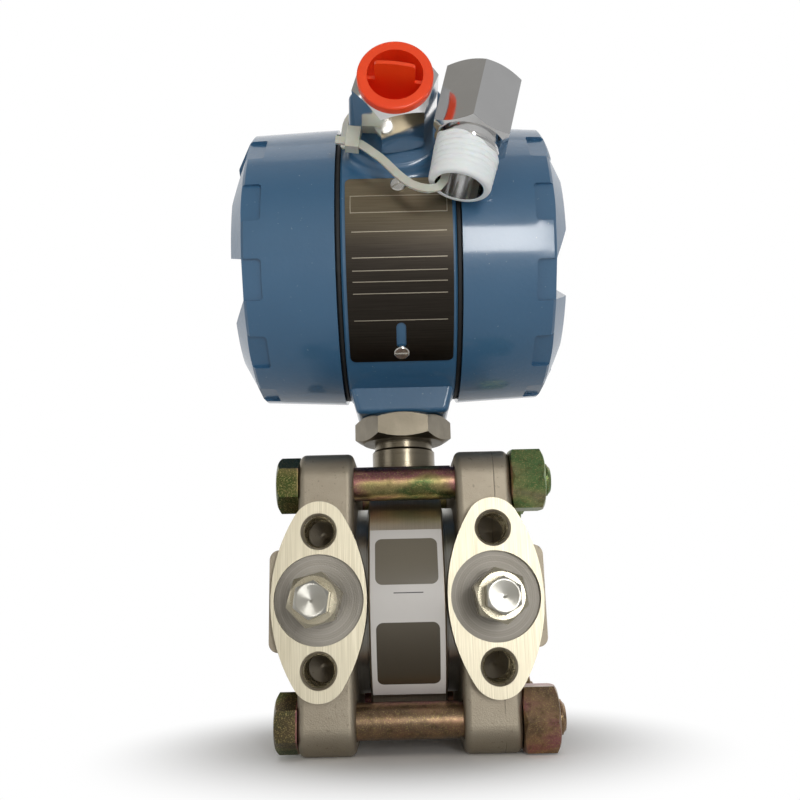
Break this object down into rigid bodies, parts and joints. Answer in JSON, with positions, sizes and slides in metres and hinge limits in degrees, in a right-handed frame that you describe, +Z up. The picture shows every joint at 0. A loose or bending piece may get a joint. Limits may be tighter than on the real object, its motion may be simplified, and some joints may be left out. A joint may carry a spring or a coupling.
{
  "type": "differential pressure transmitter",
  "caption": "Differential pressure transmitter: two bolted process flanges over a round sensor module, with a two-compartment housing, screwed covers, vents and conduit adapters.",
  "frame": {"origin": "middle of the front pattern of four tapped holes, in the plane of the front oval faces", "axes": "+X towards the high side, -Y out of the front faces, +Z up the neck to the housing"},
  "size_m": [0.1142, 0.1371, 0.2256],
  "materials": {
    "cast_stainless": "bead-blasted casting with bright machined faces",
    "module_steel": "turned and satin",
    "turned_steel": "turned, bright",
    "yellow_zinc": "yellow zinc plating",
    "neck_steel": "turned and satin",
    "blue_paint": "glossy",
    "plate_steel": "satin, dark",
    "screw_steel": "bright",
    "plated_adapter": "mirror",
    "orange_plastic": "glossy",
    "black_rubber": "matte",
    "natural_nylon": "translucent",
    "white_tape": "matte",
    "label_film": "satin",
    "circuit_board": "satin",
    "black_plastic": "matte",
    "terminal_brass": "nickel-free, bright",
    "white_gasket": "matte",
    "cell_steel": "ground"
  },
  "bodies": {
    "sensor": {"sensor_module": "module_steel", "flange_low": "cast_stainless", "flange_high": "cast_stainless", "module_label": "label_film", "sensor_cell": "cell_steel", "sensor_header": "black_plastic", "diaphragm_low": "cell_steel", "diaphragm_high": "cell_steel", "gasket_low": "white_gasket", "gasket_high": "white_gasket", "flange_bolts": "yellow_zinc", "flange_nuts": "yellow_zinc", "vent_seat_low": "turned_steel", "vent_seat_high": "turned_steel"},
    "lock_nut": {"lock_nut": "neck_steel"},
    "housing": {"housing": "blue_paint", "nameplate": "plate_steel", "nameplate_screws": "screw_steel", "terminal_block": "black_plastic", "terminal_screws": "terminal_brass", "block_screws": "screw_steel", "amplifier_board": "circuit_board", "calibration_board": "circuit_board", "board_standoffs": "screw_steel", "conduit_adapter": "plated_adapter", "loose_adapter": "plated_adapter", "thread_tape": "white_tape", "cable_tie": "natural_nylon"},
    "conduit_plug": {"conduit_plug": "orange_plastic"},
    "cover_o_ring_left": {"cover_o_ring_left": "black_rubber"},
    "cover_left": {"cover_left": "blue_paint"},
    "cover_o_ring_right": {"cover_o_ring_right": "black_rubber"},
    "cover_right": {"cover_right": "blue_paint"},
    "vent_ball_low": {"vent_ball_low": "cell_steel"},
    "vent_stem_low": {"vent_stem_low": "turned_steel"},
    "vent_ball_high": {"vent_ball_high": "cell_steel"},
    "vent_stem_high": {"vent_stem_high": "turned_steel"}
  },
  "joints": [
    {"name": "housing_turn", "type": "hinge", "parent": "sensor", "child": "housing", "pos_m": [0, 0.043, 0.0647], "axis": [0, 0, 1], "range_deg": [-90, 90]},
    {"name": "lock_nut_turn", "type": "hinge", "parent": "sensor", "child": "lock_nut", "pos_m": [0, 0.043, 0.06], "axis": [0, 0, 1], "range_deg": [-90, 0]},
    {"name": "plug_pull", "type": "slide", "parent": "housing", "child": "conduit_plug", "axis": [0, -1, 0], "range_m": [0, 0.013]},
    {"name": "cover_left_travel", "type": "slide", "parent": "housing", "child": "cover_o_ring_left", "axis": [-1, 0, 0], "range_m": [0, 0.0151]},
    {"name": "cover_left_turn", "type": "hinge", "parent": "cover_o_ring_left", "child": "cover_left", "pos_m": [-0.036, 0.043, 0.124], "axis": [-1, 0, 0], "range_deg": [0, 2700]},
    {"name": "cover_right_travel", "type": "slide", "parent": "housing", "child": "cover_o_ring_right", "axis": [1, 0, 0], "range_m": [0, 0.0151]},
    {"name": "cover_right_turn", "type": "hinge", "parent": "cover_o_ring_right", "child": "cover_right", "pos_m": [0.036, 0.043, 0.124], "axis": [1, 0, 0], "range_deg": [0, 2700]},
    {"name": "vent_low_travel", "type": "slide", "parent": "sensor", "child": "vent_ball_low", "axis": [0, -1, 0], "range_m": [0, 0.002]},
    {"name": "vent_low_turn", "type": "hinge", "parent": "vent_ball_low", "child": "vent_stem_low", "pos_m": [-0.027, -0.019, 0], "axis": [0, -1, 0], "range_deg": [0, 720.1]},
    {"name": "vent_high_travel", "type": "slide", "parent": "sensor", "child": "vent_ball_high", "axis": [0, -1, 0], "range_m": [0, 0.002]},
    {"name": "vent_high_turn", "type": "hinge", "parent": "vent_ball_high", "child": "vent_stem_high", "pos_m": [0.027, -0.019, 0], "axis": [0, -1, 0], "range_deg": [0, 720.1]}
  ],
  "couplings": [
    {"joint": "cover_left_travel", "follows": "cover_left_turn", "m_per_rad": 0.00031831},
    {"joint": "cover_right_travel", "follows": "cover_right_turn", "m_per_rad": 0.00031831},
    {"joint": "vent_low_turn", "follows": "vent_low_travel", "rad_per_m": 6283.2},
    {"joint": "vent_high_turn", "follows": "vent_high_travel", "rad_per_m": 6283.2}
  ]
}
